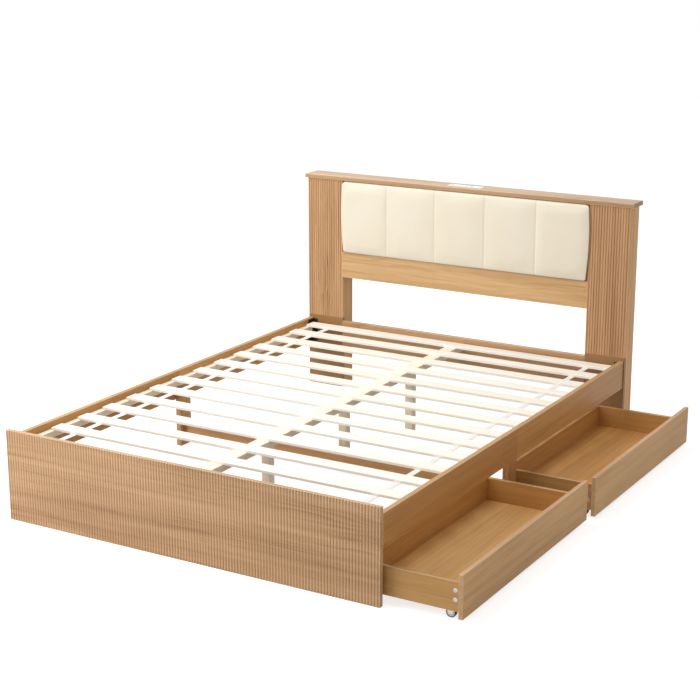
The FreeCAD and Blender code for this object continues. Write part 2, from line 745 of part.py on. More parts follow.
class Drawer:
    """The shared places of one drawer, as formulas of the sizes."""

    def __init__(self, end):
        self.name = f"{end}_drawer"
        if end == "foot":
            beside_joint = "drawer_joint_gap"
            self.low_y = f"({FOOT_FACE} + drawer_end_gap)"
        else:
            beside_joint = "(mid_leg_width / 2 + drawer_leg_gap - drawer_box_inset)"
            self.low_y = f"({RAIL_JOINT} + {beside_joint})"
        self.front_length = f"({end}_rail_length - drawer_end_gap - {beside_joint})"
        far_inset = "(mid_leg_width / 2 - drawer_joint_gap + drawer_leg_room)"
        self.box_length = f"({self.front_length} - drawer_box_inset - {far_inset})"
        self.box_y = f"({self.low_y} + drawer_box_inset)"
        self.front_x = f"({HALF} - drawer_front_thickness + {end}_drawer_open)"
        self.back_x = f"({self.front_x} - drawer_box_depth)"
        self.inner_length = f"({self.box_length} - 2 * drawer_side_thickness)"

    def build(self):
        self.front()
        self.back()
        self.sides()
        self.bottom()
        self.cam_locks()
        self.casters()

    def front(self):
        """The plain front board, wider than the box and grooved for the floor."""
        body = board(
            f"{self.name}_front",
            ("drawer_front_thickness", self.front_length, "drawer_front_height"),
            (self.front_x, self.low_y, "drawer_front_bottom"),
        )
        reach = "(drawer_groove_depth + drawer_groove_clearance)"
        corner = (
            f"drawer_box_inset + drawer_side_thickness - {reach}",
            f"{FLOOR_UNDERSIDE} - drawer_front_bottom - drawer_groove_clearance",
            "0",
        )
        groove(body, "YZ_Plane", f"{self.inner_length} + 2 * {reach}", corner, True)
        keep(body, body.Label)

    def back(self):
        """The back board between the two sides."""
        body = board(
            f"{self.name}_back",
            ("drawer_back_thickness", self.inner_length, "drawer_side_height"),
            (self.back_x, f"{self.box_y} + drawer_side_thickness", "drawer_side_bottom"),
        )
        corner = ("0", "drawer_floor_rise - drawer_groove_clearance", "drawer_back_thickness")
        groove(body, "YZ_Plane", self.inner_length, corner, False)
        keep(body, body.Label)

    def sides(self):
        """The two side boards, grooved inside and bored outside for the cam locks."""
        for end in ("foot", "head"):
            shift = "0" if end == "foot" else f"{self.box_length} - drawer_side_thickness"
            body = board(
                f"{self.name}_{end}_side",
                ("drawer_box_depth", "drawer_side_thickness", "drawer_side_height"),
                (self.back_x, f"{self.box_y} + {shift}", "drawer_side_bottom"),
            )
            inside = "-drawer_side_thickness" if end == "foot" else "0"
            outside = "0" if end == "foot" else "-drawer_side_thickness"
            corner = ("0", "drawer_floor_rise - drawer_groove_clearance", inside)
            groove(body, "XZ_Plane", "drawer_box_depth", corner, end == "foot")
            diameter = "cam_diameter + 2 * cam_clearance"
            bores = circles(body, "XZ_Plane", self.cam_spots(), diameter, ("0", "0", outside))
            body.Tip = cut(body, bores, "cam_depth + cam_recess", end == "head")
            keep(body, body.Label)

    def cam_spots(self):
        """Two locks over each other behind the front, from the side's low back corner."""
        return [
            ("drawer_box_depth - cam_inset", f"drawer_side_height - cam_drop{drop}")
            for drop in ("", " - cam_spacing")
        ]

    def bottom(self):
        """The thin floor, held in the grooves of the four boards."""
        body = board(
            f"{self.name}_floor",
            (
                "drawer_box_depth - drawer_back_thickness + 2 * drawer_groove_depth",
                f"{self.inner_length} + 2 * drawer_groove_depth",
                "drawer_floor_thickness",
            ),
            (
                f"{self.back_x} + drawer_back_thickness - drawer_groove_depth",
                f"{self.box_y} + drawer_side_thickness - drawer_groove_depth",
                FLOOR_UNDERSIDE,
            ),
        )
        keep(body, body.Label)

    def cam_locks(self):
        """Round metal locks sunk in the outside of the two sides."""
        locks = []
        for end in ("foot", "head"):
            shift = "cam_recess" if end == "foot" else f"{self.box_length} - cam_recess - cam_depth"
            for index, (along, up) in enumerate(self.cam_spots(), start=1):
                lock = doc.addObject("Part::Cylinder", f"{self.name}_{end}_cam_{index}")
                bind(lock, "Radius", "cam_diameter / 2")
                bind(lock, "Height", "cam_depth")
                lock.Placement.Rotation = Rotation(Vector(0, 0, 1), Vector(0, 1, 0))
                place(lock, (
                    f"{self.back_x} + {along}",
                    f"{self.box_y} + {shift}",
                    f"drawer_side_bottom + {up}",
                ))
                locks.append(lock)
        group(f"{self.name}_cam_locks", locks)

    def casters(self):
        """Four fixed casters under the floor: forks and axles by fours, and a wheel each."""
        forks = []
        axles = []
        spots = [
            (x, y)
            for x in (f"{self.front_x} - caster_front_inset", f"{self.back_x} + caster_back_inset")
            for y in (f"{self.box_y} + caster_side_inset",
                      f"{self.box_y} + {self.box_length} - caster_side_inset")
        ]
        for index, (x, y) in enumerate(spots, start=1):
            centre = (x, y, "wheel_radius")
            forks.append(caster_fork(f"{self.name}_fork_{index}", centre))
            axles.append(caster_axle(f"{self.name}_axle_{index}", centre))
            caster_wheel(f"{self.name}_wheel_{index}", centre)
        group(f"{self.name}_caster_forks", forks)
        group(f"{self.name}_caster_axles", axles)


FORK_INNER = "(wheel_width + 2 * fork_wheel_gap)"
FORK_OUTER = "(wheel_width + 2 * fork_wheel_gap + 2 * fork_thickness)"


def caster_fork(name, centre):
    """A pressed fork: a plate under the drawer's floor and two cheeks that taper past the axle."""
    body = doc.addObject("PartDesign::Body", name)
    sketch = sketch_on(body, "XZ_Plane")
    top = sizes.drawer_side_bottom + sizes.drawer_floor_rise - sizes.wheel_radius
    half = (
        (sizes.fork_length / 2, top),
        (sizes.fork_length / 2, top - sizes.fork_thickness),
        (sizes.fork_foot_length / 2, -sizes.fork_foot_drop),
    )
    points = [Vector(x, y, 0) for x, y in half] + [Vector(-x, y, 0) for x, y in reversed(half)]
    outline(sketch, points)
    last = len(points) - 1
    for corner in range(len(half)):
        sketch.addConstraint(Sketcher.Constraint("Symmetric", corner, 1, last - corner, 1, -2))
    sketch.addConstraint(Sketcher.Constraint("Vertical", 0))
    measure(sketch, "length", "fork_length", "DistanceX", last, 1, 0, 1)
    measure(sketch, "foot", "fork_foot_length", "DistanceX", last - 2, 1, 2, 1)
    measure(sketch, "height", f"{FLOOR_UNDERSIDE} - wheel_radius", "DistanceY", -1, 1, 0, 1)
    measure(sketch, "plate", "fork_thickness", "DistanceY", 1, 1, 0, 1)
    measure(sketch, "drop", "fork_foot_drop", "DistanceY", 2, 1, -1, 1)
    pad(body, sketch, FORK_OUTER, midplane=True)
    channel = rectangle(
        body,
        "YZ_Plane",
        FORK_INNER,
        f"{FLOOR_UNDERSIDE} - fork_thickness + overrun",
        (f"-{FORK_INNER} / 2", "-wheel_radius - overrun", "0"),
    )
    body.Tip = cut(body, channel, "fork_length + 2 * overrun", midplane=True)
    place(body, centre)
    return body


def caster_axle(name, centre):
    """A round axle between the cheeks of the fork, its ends flat against them."""
    pin = doc.addObject("Part::Cylinder", name)
    bind(pin, "Radius", "axle_diameter / 2")
    bind(pin, "Height", FORK_INNER)
    pin.Placement.Rotation = Rotation(Vector(0, 0, 1), Vector(0, 1, 0))
    x, y, z = centre
    place(pin, (x, f"{y} - {FORK_INNER} / 2", z))
    return pin


def caster_wheel(name, centre):
    """A plain moulded wheel turned about its axle."""
    body = doc.addObject("PartDesign::Body", name)
    bore = "(axle_diameter / 2 + axle_clearance)"
    corner = (bore, "-wheel_width / 2", "0")
    sketch = rectangle(body, "XY_Plane", f"wheel_radius - {bore}", "wheel_width", corner)
    turned = body.newObject("PartDesign::Revolution", f"{name}_turned")
    turned.Profile = sketch
    turned.ReferenceAxis = (origin_feature(body, "Y_Axis"), [""])
    turned.Angle = 360
    place(body, centre)
    keep(body, name)


def check_model():
    """Stop if any feature failed, any cut missed its board or any sub-part isn't sound."""
    for thing in doc.Objects:
        if {"Invalid", "Error"} & set(thing.State):
            raise RuntimeError(f"{thing.Label} failed: {thing.State}")
        if thing.TypeId == "PartDesign::Pocket":
            if not thing.Shape.Volume < thing.BaseFeature.Shape.Volume:
                raise RuntimeError(f"{thing.Label} cuts nothing")
    for thing in nodes:
        if thing.Shape.isNull() or not thing.Shape.isValid():
            raise RuntimeError(f"{thing.Label} has no sound shape")


foot_panel()
side_rails()
ledgers()
mid_legs()
mid_crossbar()
head_cross_rail()
centre_beam()
centre_legs()
slats()
slat_straps()
corner_brackets()
bracket_bolts()
mid_leg_bolts()
columns()
top_cap()
power_insert()
headboard_boards()
headboard_pad()
for end in ("foot", "head"):
    Drawer(end).build()

doc.recompute()
check_model()
os.makedirs("parts", exist_ok=True)
for thing in nodes:
    thing.Shape.exportStep(f"parts/{thing.Label}.step")
print(f"{len(nodes)} sub-parts written")
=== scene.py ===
import math

import bmesh
import bpy
from mathutils import Euler, Matrix, Vector, noise


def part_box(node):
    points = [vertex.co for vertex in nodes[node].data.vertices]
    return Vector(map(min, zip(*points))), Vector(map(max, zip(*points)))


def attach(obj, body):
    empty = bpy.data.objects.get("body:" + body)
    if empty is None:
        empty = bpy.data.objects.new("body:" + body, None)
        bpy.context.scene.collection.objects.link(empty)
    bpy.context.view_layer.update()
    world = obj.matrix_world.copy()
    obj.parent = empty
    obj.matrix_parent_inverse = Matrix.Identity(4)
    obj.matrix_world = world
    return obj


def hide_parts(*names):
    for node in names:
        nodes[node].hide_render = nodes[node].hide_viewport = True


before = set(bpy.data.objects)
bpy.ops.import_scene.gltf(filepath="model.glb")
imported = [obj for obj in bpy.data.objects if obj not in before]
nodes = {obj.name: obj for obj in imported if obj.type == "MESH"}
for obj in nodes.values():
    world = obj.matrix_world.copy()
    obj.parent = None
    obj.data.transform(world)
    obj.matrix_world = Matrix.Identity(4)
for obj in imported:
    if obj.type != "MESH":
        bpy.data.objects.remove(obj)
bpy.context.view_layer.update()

# Foot panel: an 18 mm board foiled in light oak, its front milled into upright flutes from end to
# end, so that the foil's grain runs across the reeds. Along its edges the colour is painted
# paler, as a highlight.


def tint(red, green, blue):
    """A paint-chart colour, 0 to 255, as the linear colour that a shader takes."""
    shares = [value / 255 for value in (red, green, blue)]
    return [s / 12.92 if s <= 0.04045 else ((s + 0.055) / 1.055) ** 2.4 for s in shares] + [1.0]


def add(tree, kind, inputs=None, **settings):
    """A node with its settings, and its inputs given as values or as sockets to link."""
    made = tree.nodes.new(kind)
    for name, value in settings.items():
        setattr(made, name, value)
    for name, value in (inputs or {}).items():
        if isinstance(value, bpy.types.NodeSocket):
            tree.links.new(value, made.inputs[name])
        else:
            made.inputs[name].default_value = value
    return made


def value_of(tree, operation, *terms):
    """The result of one sum on numbers or sockets."""
    return add(tree, "ShaderNodeMath", dict(enumerate(terms)), operation=operation).outputs[0]


def mixed(tree, share, first, second):
    """A colour between two others."""
    blend = add(tree, "ShaderNodeMix", {0: share, 6: first, 7: second}, data_type="RGBA")
    return blend.outputs[2]


def spread(tree, value, low, high, to_low=0.0, to_high=1.0):
    """A value stretched from one range to another, and held inside it."""
    inputs = {0: value, 1: low, 2: high, 3: to_low, 4: to_high}
    return add(tree, "ShaderNodeMapRange", inputs, interpolation_type="SMOOTHSTEP").outputs[0]


def stretched(tree, place, scale):
    return add(tree, "ShaderNodeVectorMath", {0: place, 1: scale}, operation="MULTIPLY").outputs[0]


def apart(tree, place, origin):
    """The way from an origin to a place."""
    inputs = {0: place, 1: origin}
    return add(tree, "ShaderNodeVectorMath", inputs, operation="SUBTRACT").outputs[0]


def new_group(name, inputs, outputs):
    """An empty shader group with named sockets."""
    tree = bpy.data.node_groups.new(name, "ShaderNodeTree")
    kinds = {"v": "NodeSocketVector", "c": "NodeSocketColor", "f": "NodeSocketFloat"}
    for socket, kind in inputs:
        tree.interface.new_socket(socket, in_out="INPUT", socket_type=kinds[kind])
    for socket, kind in outputs:
        tree.interface.new_socket(socket, in_out="OUTPUT", socket_type=kinds[kind])
    return tree, tree.nodes.new("NodeGroupInput").outputs, tree.nodes.new("NodeGroupOutput").inputs


def oak_grain_group():
    """Oak figure printed on foil along X, in metres: streaks, growth lines and short pores."""
    tree, given, out = new_group(
        "oak_grain",
        [("Place", "v"), ("Pale", "c"), ("Dark", "c"), ("Figure", "f")],
        [("Colour", "c"), ("Roughness", "f"), ("Height", "f")],
    )
    place = given["Place"]

    def streaks(scale, detail, distortion=0.0):
        inputs = {
            "Vector": stretched(tree, place, scale),
            "Scale": 1.0,
            "Detail": detail,
            "Roughness": 0.55,
            "Distortion": distortion,
        }
        return add(tree, "ShaderNodeTexNoise", inputs).outputs[0]

    broad = spread(tree, streaks((0.9, 13, 13), 3, 0.6), 0.3, 0.72)
    middle = spread(tree, streaks((1.6, 55, 55), 3), 0.3, 0.75)
    fine = spread(tree, streaks((6, 260, 260), 2), 0.3, 0.75)
    veins = spread(tree, streaks((1.3, 165, 165), 2, 0.3), 0.55, 0.7)
    pores = spread(tree, streaks((30, 900, 900), 1), 0.58, 0.75)
    lines = add(
        tree,
        "ShaderNodeTexWave",
        {
            "Vector": stretched(tree, place, (0.13, 1, 1)),
            "Scale": 28.0,
            "Distortion": 22.0,
            "Detail": 2.0,
            "Detail Scale": 0.45,
            "Detail Roughness": 0.5,
        },
        wave_type="RINGS",
        rings_direction="X",
        wave_profile="SAW",
    ).outputs["Fac"]
    patches = spread(tree, streaks((1.1, 5, 5), 2), 0.48, 0.68)
    growth = value_of(tree, "POWER", lines, 2.5)
    strength = value_of(tree, "MULTIPLY", patches, given["Figure"])
    growth = value_of(tree, "MULTIPLY", growth, strength)
    share = value_of(tree, "MULTIPLY", broad, 0.36)
    for amount, weight in ((middle, 0.24), (fine, 0.12), (veins, 0.26), (growth, 0.6)):
        share = value_of(tree, "MULTIPLY_ADD", amount, weight, share)
    share = value_of(tree, "MULTIPLY_ADD", pores, 0.1, share)
    tree.links.new(mixed(tree, share, given["Pale"], given["Dark"]), out["Colour"])
    rough = value_of(tree, "MULTIPLY_ADD", fine, 0.1, 0.42)
    tree.links.new(value_of(tree, "MULTIPLY_ADD", pores, 0.08, rough), out["Roughness"])
    height = value_of(tree, "MULTIPLY_ADD", fine, -0.3, value_of(tree, "MULTIPLY", pores, -0.7))
    tree.links.new(height, out["Height"])
    return tree


def board_edges_group():
    """Masks on a board between two corners: edges, for a painted highlight, and narrow sides."""
    fade = 0.0007
    tree, given, out = new_group(
        "board_edges",
        [
            ("Place", "v"), ("Low", "v"), ("High", "v"), ("Through", "v"),
            ("Edge Width", "f"), ("Band Depth", "f"),
        ],
        [("Edge", "f"), ("Rim", "f")],
    )
    spans = (("Place", "Low"), ("High", "Place"))
    sides = [apart(tree, given[first], given[second]) for first, second in spans]
    near = add(tree, "ShaderNodeVectorMath", dict(enumerate(sides)), operation="MINIMUM")
    x, y, z = add(tree, "ShaderNodeSeparateXYZ", {0: near.outputs[0]}).outputs
    lesser = value_of(tree, "MINIMUM", x, y)
    greater = value_of(tree, "MAXIMUM", x, y)
    second = value_of(tree, "MAXIMUM", lesser, value_of(tree, "MINIMUM", greater, z))
    share = value_of(tree, "DIVIDE", second, given["Edge Width"])
    edge = add(tree, "ShaderNodeClamp", {0: value_of(tree, "SUBTRACT", 1.0, share)})
    tree.links.new(edge.outputs[0], out["Edge"])
    inputs = {0: near.outputs[0], 1: given["Through"]}
    around = add(tree, "ShaderNodeVectorMath", inputs, operation="ADD").outputs[0]
    x, y, z = add(tree, "ShaderNodeSeparateXYZ", {0: around}).outputs
    nearest = value_of(tree, "MINIMUM", value_of(tree, "MINIMUM", x, y), z)
    solid = value_of(tree, "SUBTRACT", given["Band Depth"], fade)
    tree.links.new(spread(tree, nearest, given["Band Depth"], solid), out["Rim"])
    return tree


oak_grain = oak_grain_group()
board_edges = board_edges_group()
GRAIN_TURNS = {"X": (0, 0, 0), "Y": (0, 0, -math.pi / 2), "Z": (0, math.pi / 2, 0)}
PRINT_STEPS = ((0.173, 7), (0.291, 5), (0.117, 3))


def finish(name):
    """An empty material, with its tree, its shader and the Object coordinates."""
    material = bpy.data.materials.new(name)
    material.use_nodes = True
    tree = material.node_tree
    place = add(tree, "ShaderNodeTexCoord").outputs["Object"]
    return material, tree, tree.nodes["Principled BSDF"], place


def dress(node, material):
    nodes[node].material_slots[0].material = material


def bump(tree, shader, height, distance):
    made = add(tree, "ShaderNodeBump", {"Height": height, "Distance": distance})
    tree.links.new(made.outputs[0], shader.inputs["Normal"])


def own_number(node):
    return sum(ord(letter) for letter in node)


def own_place(number, steps):
    """Where a numbered board lies in an endless print, by a step and a span on each axis."""
    return tuple(number * step % span for step, span in steps)


def foil_board(
    node, grain, pale, dark, edge,
    figure=0.8, painted_shade_below=None, band=None, band_depth=0.0012, plank=None,
):
    """One foiled board: oak grain along the given axis, from a place of its own in the print."""
    highlight_width, highlight_share, painted_shade_share, painted_shade_fade = 0.0025, 0.55, 0.95, 0.004
    material, tree, shader, place = finish(f"{node}_foil")
    low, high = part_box(node)
    number = plank or own_number(node)
    turned = add(tree, "ShaderNodeMapping", {
        "Vector": place,
        "Rotation": GRAIN_TURNS[grain],
        "Location": own_place(number, PRINT_STEPS),
    }).outputs[0]
    oak_print = add(tree, "ShaderNodeGroup", node_tree=oak_grain)
    tree.links.new(turned, oak_print.inputs["Place"])
    oak_print.inputs["Pale"].default_value = tint(*pale)
    oak_print.inputs["Dark"].default_value = tint(*dark)
    oak_print.inputs["Figure"].default_value = figure
    size = high - low
    edges = add(tree, "ShaderNodeGroup", node_tree=board_edges)
    tree.links.new(place, edges.inputs["Place"])
    edges.inputs["Low"].default_value = low
    edges.inputs["High"].default_value = high
    edges.inputs["Through"].default_value = [float(part == min(size)) for part in size]
    edges.inputs["Edge Width"].default_value = highlight_width
    edges.inputs["Band Depth"].default_value = band_depth
    # The narrow sides take the band print; on the rail tops it is painted sheen, on the cap's front
    # painted shade.
    if band:
        rim = edges.outputs["Rim"]
        for socket, face, banding in (("Pale", pale, band[0]), ("Dark", dark, band[1])):
            tree.links.new(mixed(tree, rim, tint(*face), tint(*banding)), oak_print.inputs[socket])
    # Along the edges the colour is mixed toward a paler one: a painted highlight.
    share = value_of(tree, "MULTIPLY", edges.outputs["Edge"], highlight_share)
    colour = mixed(tree, share, oak_print.outputs["Colour"], tint(*edge))
    # Below the given height the board is darkened almost to its dark print: painted shade.
    if painted_shade_below:
        z = add(tree, "ShaderNodeSeparateXYZ", {0: place}).outputs[2]
        foot = spread(tree, z, painted_shade_below - painted_shade_fade, painted_shade_below, painted_shade_share, 0.0)
        colour = mixed(tree, foot, colour, tint(*dark))
    tree.links.new(colour, shader.inputs["Base Color"])
    tree.links.new(oak_print.outputs["Roughness"], shader.inputs["Roughness"])
    bump(tree, shader, oak_print.outputs["Height"], 0.00025)
    dress(node, material)


# A paler colour mixed in along board edges: a painted highlight.
OAK_EDGE_HIGHLIGHT = (236, 208, 172)
FOOT_PRINT = ((225, 186, 142), (157, 111, 69))
foil_board("foot_panel", "X", *FOOT_PRINT, OAK_EDGE_HIGHLIGHT, figure=1.0, plank=11)

# Side rails: two 18 mm foiled boards a side, end to end in front of the mid leg, with the grain
# along the bed. The head pieces are printed lighter than the foot pieces. The narrow sides take a
# paler, greyer print than the faces, which paints the sheen the rail tops show.

RAIL_PRINTS = {
    "foot": ((204, 150, 84), (162, 110, 54)),
    "head": ((214, 162, 93), (172, 121, 62)),
}
RAIL_SHEEN_BAND = ((206, 164, 114), (166, 122, 78))
for side in ("left", "right"):
    for end in ("foot", "head"):
        foil_board(f"side_rail_{side}_{end}", "Y", *RAIL_PRINTS[end], OAK_EDGE_HIGHLIGHT, band=RAIL_SHEEN_BAND)

# Head cross rail and the columns' boards: the same foil, upright on the columns. Each column is a
# closed box of four boards, and only its front is milled into flutes, above the rails. Below the
# rail level each front is painted darker, as shade.

foil_board("head_cross_rail", "X", (206, 164, 118), (152, 108, 66), OAK_EDGE_HIGHLIGHT)
COLUMN_FRONT = ((212, 169, 125), (150, 107, 62))
# Sides, backs and the fronts' narrow sides are printed brighter than the fronts: painted light.
COLUMN_SIDE_LIT_PRINT = ((250, 193, 119), (194, 134, 68))
COLUMN_INSIDE = ((221, 170, 104), (171, 117, 60))
for side, plank in (("left", 1824), ("right", 1965)):
    foil_board(
        f"column_{side}_front", "Z", *COLUMN_FRONT, COLUMN_SIDE_LIT_PRINT[0],
        painted_shade_below=0.31, band=COLUMN_SIDE_LIT_PRINT, plank=plank,
    )
    foil_board(f"column_{side}_inner_side", "Z", *COLUMN_INSIDE, COLUMN_INSIDE[0])
    for board in ("outer_side", "back"):
        foil_board(f"column_{side}_{board}", "Z", *COLUMN_SIDE_LIT_PRINT, COLUMN_SIDE_LIT_PRINT[0])

# Headboard rail, back panel and the hidden board under the pad: plain boards between the columns,
# with the grain across the bed.

LOWER_RAIL_PRINT = ((220, 181, 128), (156, 111, 62))
foil_board("headboard_lower_rail", "X", *LOWER_RAIL_PRINT, OAK_EDGE_HIGHLIGHT, figure=0.35, plank=2147)
foil_board("headboard_back_panel", "X", (206, 164, 118), (158, 114, 72), OAK_EDGE_HIGHLIGHT)
RAW_BOARD = ((190, 160, 122), (150, 118, 84))
foil_board("pad_board", "X", *RAW_BOARD, RAW_BOARD[0], figure=0.2)

# Top cap: one wide board in the same oak foil, laid over both columns and overhanging them. Its
# upper edges are rounded. Its top is printed paler and greyer, a painted sheen, and its narrow
# sides browner, painted shade on the front; the rounding keeps the pale print, a painted highlight.

CAP_TOP_SHEEN = ((221, 193, 159), (170, 133, 98))
CAP_NOSE_SHADE = ((192, 156, 114), (146, 106, 68))
foil_board("top_cap", "X", *CAP_TOP_SHEEN, CAP_TOP_SHEEN[0], figure=0.6, band=CAP_NOSE_SHADE, band_depth=0.0016)

# Mid legs and the low crossbar between them: plain boards in a browner foil, bolted behind the
# rail joints and out of sight from most sides.

# The second colour is mixed in along the edges: a painted highlight.
BROWN_PRINT, BROWN_EDGE_HIGHLIGHT = ((206, 156, 98), (156, 108, 60)), (206, 160, 110)
for node, grain in (("mid_leg_left", "Z"), ("mid_leg_right", "Z"), ("mid_crossbar", "X")):
    foil_board(node, grain, *BROWN_PRINT, BROWN_EDGE_HIGHLIGHT, figure=0.5)

# Slats, cleats, beam and centre legs: planed bare pine, nearly white, with soft growth streaks and
# a few small knots. Each slat is sawn from another place in the plank. The beam, centre legs and
# cleats are printed warmer than the slats: painted warm light bounced from the wood around them.


def clouds(tree, place, scale, detail, distortion=0.0):
    """Even noise over a place, from 0 to 1."""
    inputs = {"Vector": place, "Scale": scale, "Detail": detail, "Distortion": distortion}
    return add(tree, "ShaderNodeTexNoise", inputs).outputs[0]


def pine_group():
    """Planed pine with the grain along X, in metres: pale wood, soft streaks and small knots."""
    tree, given, out = new_group(
        "planed_pine",
        [("Place", "v"), ("Pale", "c"), ("Warm", "c")],
        [("Colour", "c"), ("Height", "f")],
    )
    place = given["Place"]
    soft = clouds(tree, stretched(tree, place, (1.1, 34, 34)), 1.0, 3.0, 0.7)
    fine = clouds(tree, stretched(tree, place, (7, 420, 420)), 1.0, 2.0)
    cells = add(tree, "ShaderNodeTexVoronoi", {
        "Vector": stretched(tree, place, (2.2, 6.5, 6.5)), "Scale": 1.0, "Randomness": 1.0,
    }).outputs["Distance"]
    knot = spread(tree, cells, 0.05, 0.015)
    halo = spread(tree, cells, 0.2, 0.03)
    share = value_of(tree, "MULTIPLY", spread(tree, soft, 0.35, 0.8), 0.55)
    share = value_of(tree, "MULTIPLY_ADD", spread(tree, fine, 0.35, 0.75), 0.2, share)
    share = value_of(tree, "MULTIPLY_ADD", halo, 0.35, share)
    colour = mixed(tree, share, given["Pale"], given["Warm"])
    colour = mixed(tree, value_of(tree, "MULTIPLY", knot, 0.65), colour, tint(176, 128, 84))
    tree.links.new(colour, out["Colour"])
    tree.links.new(fine, out["Height"])
    return tree


planed_pine = pine_group()
PLANK_STEPS = ((0.131, 7), (0.377, 5), (0, 1))


def pine(node, grain, pale, warm, pitch=None):
    """One pine piece or a row of them along Y, each of the row from a plank of its own."""
    material, tree, shader, place = finish(f"{node}_pine")
    if pitch:
        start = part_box(node)[0].y
        y = add(tree, "ShaderNodeSeparateXYZ", {0: place}).outputs[1]
        along = value_of(tree, "DIVIDE", value_of(tree, "SUBTRACT", y, start), pitch)
        row = value_of(tree, "FLOOR", along)
        own = add(tree, "ShaderNodeTexWhiteNoise", {"W": row}, noise_dimensions="1D")
        far_apart = (9, 9, 9)
        step = stretched(tree, own.outputs["Color"], far_apart)
        place = add(tree, "ShaderNodeVectorMath", {0: place, 1: step}, operation="ADD").outputs[0]
    turned = add(tree, "ShaderNodeMapping", {
        "Vector": place,
        "Rotation": GRAIN_TURNS[grain],
        "Location": own_place(own_number(node), PLANK_STEPS),
    }).outputs[0]
    wood = add(tree, "ShaderNodeGroup", node_tree=planed_pine)
    tree.links.new(turned, wood.inputs["Place"])
    wood.inputs["Pale"].default_value = tint(*pale)
    wood.inputs["Warm"].default_value = tint(*warm)
    tree.links.new(wood.outputs["Colour"], shader.inputs["Base Color"])
    shader.inputs["Roughness"].default_value = 0.6
    bump(tree, shader, wood.outputs["Height"], 0.00015)
    dress(node, material)


PINE = ((250, 245, 235), (240, 227, 206))
SLAT_PITCH = 0.1383
pine("slats", "X", *PINE, pitch=SLAT_PITCH)
# A warmer copy of the slats' pine: painted warm bounce light.
PINE_WARM_BOUNCE = ((250, 241, 222), (238, 222, 194))
pine("centre_beam", "Y", *PINE_WARM_BOUNCE)
for end in ("foot", "mid", "head"):
    pine(f"centre_leg_{end}", "Z", *PINE_WARM_BOUNCE)
for side in ("left", "right"):
    for end in ("foot", "head"):
        pine(f"ledger_{side}_{end}", "Y", *PINE_WARM_BOUNCE)

# Slat straps: two strips of flat white woven webbing, which run lengthwise under the slats and are
# stapled to each one, to keep them apart.


def webbing():
    material, tree, shader, place = finish("strap_webbing")
    x, y = add(tree, "ShaderNodeSeparateXYZ", {0: place}).outputs[:2]
    ribs = []
    for along, pitch in ((x, 0.0022), (y, 0.0018)):
        ribs.append(value_of(tree, "SINE", value_of(tree, "MULTIPLY", along, 2 * math.pi / pitch)))
    weave = value_of(tree, "MULTIPLY", *ribs)
    share = spread(tree, weave, -1.0, 1.0)
    colour = mixed(tree, share, tint(246, 244, 238), tint(252, 251, 247))
    tree.links.new(colour, shader.inputs["Base Color"])
    shader.inputs["Roughness"].default_value = 0.85
    bump(tree, shader, weave, 0.0003)
    dress("slat_straps", material)


webbing()

# Corner brackets: bent steel angles, powder-coated black, one in each corner of the frame. The long
# leg is bolted to the side rail and the short one to the end of the bed.


def powder_coat():
    material, tree, shader, place = finish("black_powder_coat")
    orange_peel = clouds(tree, place, 900.0, 2.0)
    cloud = clouds(tree, place, 40.0, 3.0)
    colour = mixed(tree, cloud, tint(18, 18, 19), tint(34, 33, 33))
    tree.links.new(colour, shader.inputs["Base Color"])
    tree.links.new(spread(tree, cloud, 0.3, 0.7, 0.4, 0.55), shader.inputs["Roughness"])
    bump(tree, shader, orange_peel, 0.0002)
    dress("corner_brackets", material)


powder_coat()

# Frame bolts: zinc-plated hexagon heads with a bevelled crown, on the brackets and the mid legs.
# Each group is one head set on the places where the frame has its bolts.


def zinc_finish():
    material, tree, shader, place = finish("zinc_plate")
    cloud = clouds(tree, place, 220.0, 4.0)
    colour = mixed(tree, cloud, tint(168, 168, 170), tint(214, 214, 212))
    tree.links.new(colour, shader.inputs["Base Color"])
    tree.links.new(spread(tree, cloud, 0.3, 0.7, 0.26, 0.42), shader.inputs["Roughness"])
    shader.inputs["Metallic"].default_value = 1.0
    return material


zinc = zinc_finish()


def plain_mesh(name, build):
    """An object with the mesh that a function draws, not yet part of the scene."""
    mesh = bpy.data.meshes.new(name)
    sketch = bmesh.new()
    build(sketch)
    bmesh.ops.recalc_face_normals(sketch, faces=sketch.faces)
    sketch.to_mesh(mesh)
    sketch.free()
    return bpy.data.objects.new(name, mesh)


def turned_shape(sketch, profile, sides):
    """A shape turned about Z from a profile of radius and height, closed below and open above."""
    rings = []
    for radius, height in profile:
        corners = []
        for index in range(sides):
            angle = 2 * math.pi * index / sides
            spot = (radius * math.cos(angle), radius * math.sin(angle), height)
            corners.append(sketch.verts.new(spot))
        rings.append(corners)
    for lower, upper in zip(rings, rings[1:]):
        for index in range(sides):
            after = (index + 1) % sides
            sketch.faces.new((lower[index], lower[after], upper[after], upper[index]))
    sketch.faces.new(list(reversed(rings[0])))
    return rings[-1]


